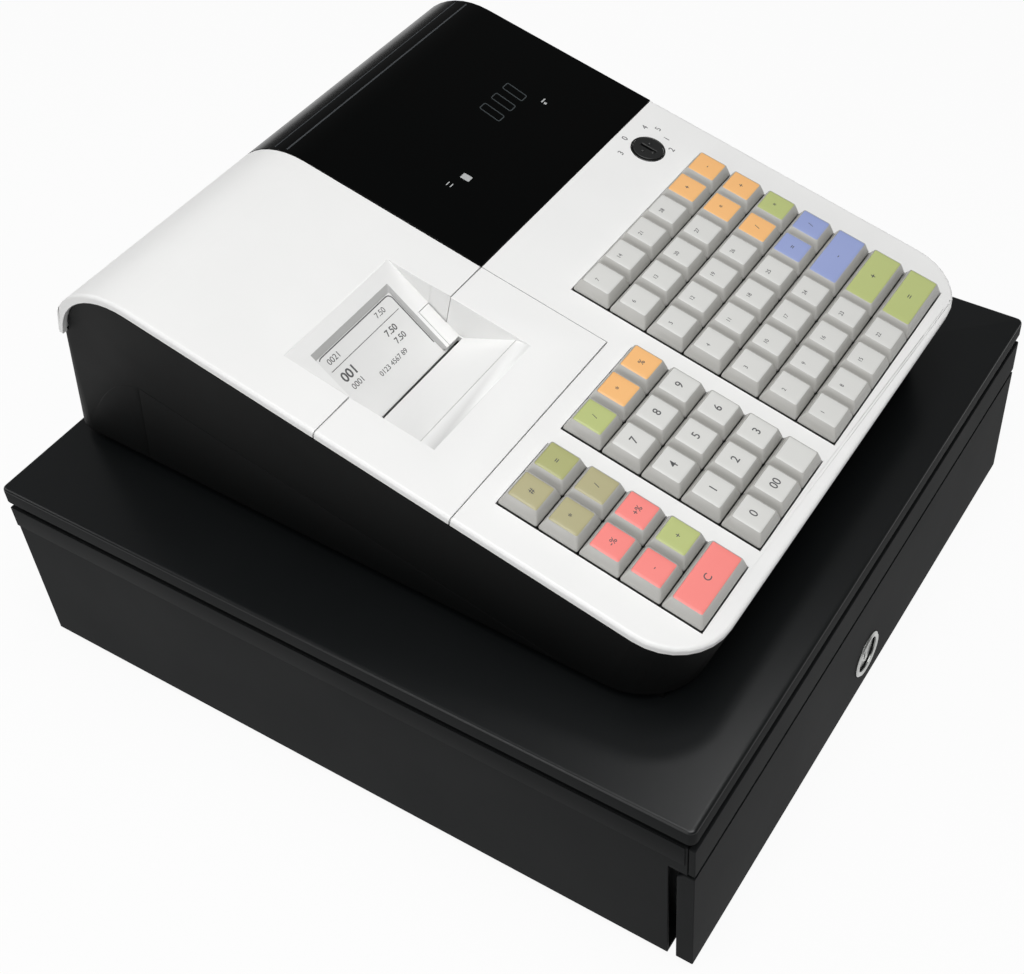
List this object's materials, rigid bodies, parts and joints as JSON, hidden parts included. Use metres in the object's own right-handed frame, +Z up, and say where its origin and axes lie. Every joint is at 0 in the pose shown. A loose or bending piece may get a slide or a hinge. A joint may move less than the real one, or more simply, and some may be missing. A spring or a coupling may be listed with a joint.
{
  "type": "ticket register",
  "caption": "Ticket register: sloping keyboard unit with receipt printer and display window, standing on a steel cash drawer with a lock, coin cups and note bays.",
  "frame": {"origin": "middle of the object at the bottom of its feet", "axes": "+X to the clerk's right, +Y from the drawer front to the back, +Z up"},
  "size_m": [0.333, 0.356, 0.2157],
  "materials": {
    "cabinet_black": "textured powder coat",
    "steel": "zinc plated",
    "case_black": "fine grained ABS",
    "case_white": "satin ABS",
    "window_black": "polished smoked acrylic",
    "rubber": "matt",
    "tray_grey": "moulded ABS",
    "lock_black": "semi-gloss",
    "paper": "thermal paper",
    "board_green": "solder mask",
    "display_glass": "display module",
    "key_grey": "satin keycaps",
    "key_orange": "satin keycaps",
    "key_green": "satin keycaps",
    "key_blue": "satin keycaps",
    "key_khaki": "satin keycaps",
    "key_red": "satin keycaps"
  },
  "bodies": {
    "register": {"cabinet_shell": "cabinet_black", "cabinet_top": "cabinet_black", "front_header": "cabinet_black", "foot_front_left": "rubber", "foot_rear_left": "rubber", "foot_front_right": "rubber", "foot_rear_right": "rubber", "runner_left": "steel", "runner_right": "steel", "release_solenoid": "steel", "lower_case": "case_black", "cord_gland": "rubber", "key_plate": "steel", "main_board": "board_green", "transformer": "steel", "printer_frame": "steel", "upper_case": "case_white", "display_window": "window_black", "operator_display": "display_glass", "customer_display": "display_glass"},
    "drawer": {"drawer_front": "cabinet_black", "drawer_box": "steel", "till_tray": "tray_grey"},
    "drawer_lock": {"drawer_lock": "lock_black"},
    "latch_lever": {"latch_lever": "steel"},
    "mode_lock": {"mode_lock": "lock_black"},
    "platen_roller": {"platen_roller": "rubber"},
    "receipt_roll": {"receipt_roll": "paper"},
    "roll_cover": {"roll_cover": "case_white", "receipt_strip": "paper"},
    "printer_cover": {"printer_cover": "case_white"},
    "note_clip_1": {"note_clip_1": "steel"},
    "note_clip_2": {"note_clip_2": "steel"},
    "note_clip_3": {"note_clip_3": "steel"},
    "department_row_1": {"department_row_1": "key_grey"},
    "department_row_2": {"department_row_2": "key_grey"},
    "department_row_3": {"department_row_3": "key_grey"},
    "department_row_4": {"department_row_4": "key_grey"},
    "department_row_5": {"department_row_5": "key_grey"},
    "department_row_6": {"department_row_6": "key_orange"},
    "department_row_7": {"department_row_7": "key_orange"},
    "key_0": {"key_0": "key_grey"},
    "key_00": {"key_00": "key_grey"},
    "key_blank": {"key_blank": "key_grey"},
    "key_1": {"key_1": "key_grey"},
    "key_2": {"key_2": "key_grey"},
    "key_3": {"key_3": "key_grey"},
    "key_4": {"key_4": "key_grey"},
    "key_5": {"key_5": "key_grey"},
    "key_6": {"key_6": "key_grey"},
    "key_7": {"key_7": "key_grey"},
    "key_8": {"key_8": "key_grey"},
    "key_9": {"key_9": "key_grey"},
    "numeric_back_row": {"numeric_back_row": "key_orange"},
    "function_front_bank": {"function_front_bank": "key_red"},
    "function_rear_bank": {"function_rear_bank": "key_khaki"},
    "total_key": {"total_key": "key_green"},
    "subtotal_key": {"subtotal_key": "key_green"},
    "card_key": {"card_key": "key_blue"},
    "clear_key": {"clear_key": "key_red"}
  },
  "joints": [
    {"name": "drawer_slide", "type": "slide", "parent": "register", "child": "drawer", "axis": [0, -1, 0], "range_m": [0, 0.26]},
    {"name": "roll_cover_lift", "type": "slide", "parent": "register", "child": "roll_cover", "axis": [0, -0.2462, 0.9692], "range_m": [0, 0.06]},
    {"name": "printer_cover_lift", "type": "slide", "parent": "register", "child": "printer_cover", "axis": [0, -0.2462, 0.9692], "range_m": [0, 0.05]},
    {"name": "mode_lock_turn", "type": "hinge", "parent": "register", "child": "mode_lock", "pos_m": [0.0999, -0.00596, 0.18709], "axis": [0, -0.2462, 0.9692], "range_deg": [-90, 60]},
    {"name": "drawer_lock_turn", "type": "hinge", "parent": "drawer", "child": "drawer_lock", "pos_m": [0, -0.17744, 0.0275], "axis": [0, -1, 0], "range_deg": [0, 90]},
    {"name": "note_clip_1_lift", "type": "hinge", "parent": "drawer", "child": "note_clip_1", "pos_m": [-0.09793, 0.14414, 0.0498], "axis": [-1, 0, 0], "range_deg": [0, 25], "stiffness_Nm_per_rad": 0.1},
    {"name": "note_clip_2_lift", "type": "hinge", "parent": "drawer", "child": "note_clip_2", "pos_m": [0, 0.14414, 0.0498], "axis": [-1, 0, 0], "range_deg": [0, 25], "stiffness_Nm_per_rad": 0.1},
    {"name": "note_clip_3_lift", "type": "hinge", "parent": "drawer", "child": "note_clip_3", "pos_m": [0.09793, 0.14414, 0.0498], "axis": [-1, 0, 0], "range_deg": [0, 25], "stiffness_Nm_per_rad": 0.1},
    {"name": "latch_swing", "type": "hinge", "parent": "register", "child": "latch_lever", "pos_m": [0, 0.16554, 0.018], "axis": [0, 0, -1], "range_deg": [0, 8], "stiffness_Nm_per_rad": 0.05},
    {"name": "receipt_roll_spin", "type": "hinge", "parent": "register", "child": "receipt_roll", "pos_m": [-0.073, 0.0782, 0.15874], "axis": [1, 0, 0], "continuous": true},
    {"name": "platen_spin", "type": "hinge", "parent": "register", "child": "platen_roller", "pos_m": [-0.073, 0.02242, 0.15901], "axis": [1, 0, 0], "continuous": true},
    {"name": "department_row_1_press", "type": "slide", "parent": "register", "child": "department_row_1", "axis": [0, 0.2462, -0.9692], "range_m": [0, 0.0035], "stiffness_N_per_m": 250, "springref_m": -0.0015},
    {"name": "department_row_2_press", "type": "slide", "parent": "register", "child": "department_row_2", "axis": [0, 0.2462, -0.9692], "range_m": [0, 0.0035], "stiffness_N_per_m": 250, "springref_m": -0.0015},
    {"name": "department_row_3_press", "type": "slide", "parent": "register", "child": "department_row_3", "axis": [0, 0.2462, -0.9692], "range_m": [0, 0.0035], "stiffness_N_per_m": 250, "springref_m": -0.0015},
    {"name": "department_row_4_press", "type": "slide", "parent": "register", "child": "department_row_4", "axis": [0, 0.2462, -0.9692], "range_m": [0, 0.0035], "stiffness_N_per_m": 250, "springref_m": -0.0015},
    {"name": "department_row_5_press", "type": "slide", "parent": "register", "child": "department_row_5", "axis": [0, 0.2462, -0.9692], "range_m": [0, 0.0035], "stiffness_N_per_m": 250, "springref_m": -0.0015},
    {"name": "department_row_6_press", "type": "slide", "parent": "register", "child": "department_row_6", "axis": [0, 0.2462, -0.9692], "range_m": [0, 0.0035], "stiffness_N_per_m": 250, "springref_m": -0.0015},
    {"name": "department_row_7_press", "type": "slide", "parent": "register", "child": "department_row_7", "axis": [0, 0.2462, -0.9692], "range_m": [0, 0.0035], "stiffness_N_per_m": 250, "springref_m": -0.0015},
    {"name": "key_0_press", "type": "slide", "parent": "register", "child": "key_0", "axis": [0, 0.2462, -0.9692], "range_m": [0, 0.0035], "stiffness_N_per_m": 250, "springref_m": -0.0015},
    {"name": "key_00_press", "type": "slide", "parent": "register", "child": "key_00", "axis": [0, 0.2462, -0.9692], "range_m": [0, 0.0035], "stiffness_N_per_m": 250, "springref_m": -0.0015},
    {"name": "key_blank_press", "type": "slide", "parent": "register", "child": "key_blank", "axis": [0, 0.2462, -0.9692], "range_m": [0, 0.0035], "stiffness_N_per_m": 250, "springref_m": -0.0015},
    {"name": "key_1_press", "type": "slide", "parent": "register", "child": "key_1", "axis": [0, 0.2462, -0.9692], "range_m": [0, 0.0035], "stiffness_N_per_m": 250, "springref_m": -0.0015},
    {"name": "key_2_press", "type": "slide", "parent": "register", "child": "key_2", "axis": [0, 0.2462, -0.9692], "range_m": [0, 0.0035], "stiffness_N_per_m": 250, "springref_m": -0.0015},
    {"name": "key_3_press", "type": "slide", "parent": "register", "child": "key_3", "axis": [0, 0.2462, -0.9692], "range_m": [0, 0.0035], "stiffness_N_per_m": 250, "springref_m": -0.0015},
    {"name": "key_4_press", "type": "slide", "parent": "register", "child": "key_4", "axis": [0, 0.2462, -0.9692], "range_m": [0, 0.0035], "stiffness_N_per_m": 250, "springref_m": -0.0015},
    {"name": "key_5_press", "type": "slide", "parent": "register", "child": "key_5", "axis": [0, 0.2462, -0.9692], "range_m": [0, 0.0035], "stiffness_N_per_m": 250, "springref_m": -0.0015},
    {"name": "key_6_press", "type": "slide", "parent": "register", "child": "key_6", "axis": [0, 0.2462, -0.9692], "range_m": [0, 0.0035], "stiffness_N_per_m": 250, "springref_m": -0.0015},
    {"name": "key_7_press", "type": "slide", "parent": "register", "child": "key_7", "axis": [0, 0.2462, -0.9692], "range_m": [0, 0.0035], "stiffness_N_per_m": 250, "springref_m": -0.0015},
    {"name": "key_8_press", "type": "slide", "parent": "register", "child": "key_8", "axis": [0, 0.2462, -0.9692], "range_m": [0, 0.0035], "stiffness_N_per_m": 250, "springref_m": -0.0015},
    {"name": "key_9_press", "type": "slide", "parent": "register", "child": "key_9", "axis": [0, 0.2462, -0.9692], "range_m": [0, 0.0035], "stiffness_N_per_m": 250, "springref_m": -0.0015},
    {"name": "numeric_back_row_press", "type": "slide", "parent": "register", "child": "numeric_back_row", "axis": [0, 0.2462, -0.9692], "range_m": [0, 0.0035], "stiffness_N_per_m": 250, "springref_m": -0.0015},
    {"name": "function_front_bank_press", "type": "slide", "parent": "register", "child": "function_front_bank", "axis": [0, 0.2462, -0.9692], "range_m": [0, 0.0035], "stiffness_N_per_m": 250, "springref_m": -0.0015},
    {"name": "function_rear_bank_press", "type": "slide", "parent": "register", "child": "function_rear_bank", "axis": [0, 0.2462, -0.9692], "range_m": [0, 0.0035], "stiffness_N_per_m": 250, "springref_m": -0.0015},
    {"name": "total_key_press", "type": "slide", "parent": "register", "child": "total_key", "axis": [0, 0.2462, -0.9692], "range_m": [0, 0.0035], "stiffness_N_per_m": 250, "springref_m": -0.0015},
    {"name": "subtotal_key_press", "type": "slide", "parent": "register", "child": "subtotal_key", "axis": [0, 0.2462, -0.9692], "range_m": [0, 0.0035], "stiffness_N_per_m": 250, "springref_m": -0.0015},
    {"name": "card_key_press", "type": "slide", "parent": "register", "child": "card_key", "axis": [0, 0.2462, -0.9692], "range_m": [0, 0.0035], "stiffness_N_per_m": 250, "springref_m": -0.0015},
    {"name": "clear_key_press", "type": "slide", "parent": "register", "child": "clear_key", "axis": [0, 0.2462, -0.9692], "range_m": [0, 0.0035], "stiffness_N_per_m": 250, "springref_m": -0.0015}
  ],
  "couplings": [
    {"joint": "platen_spin", "follows": "receipt_roll_spin", "ratio": -3.6364}
  ]
}
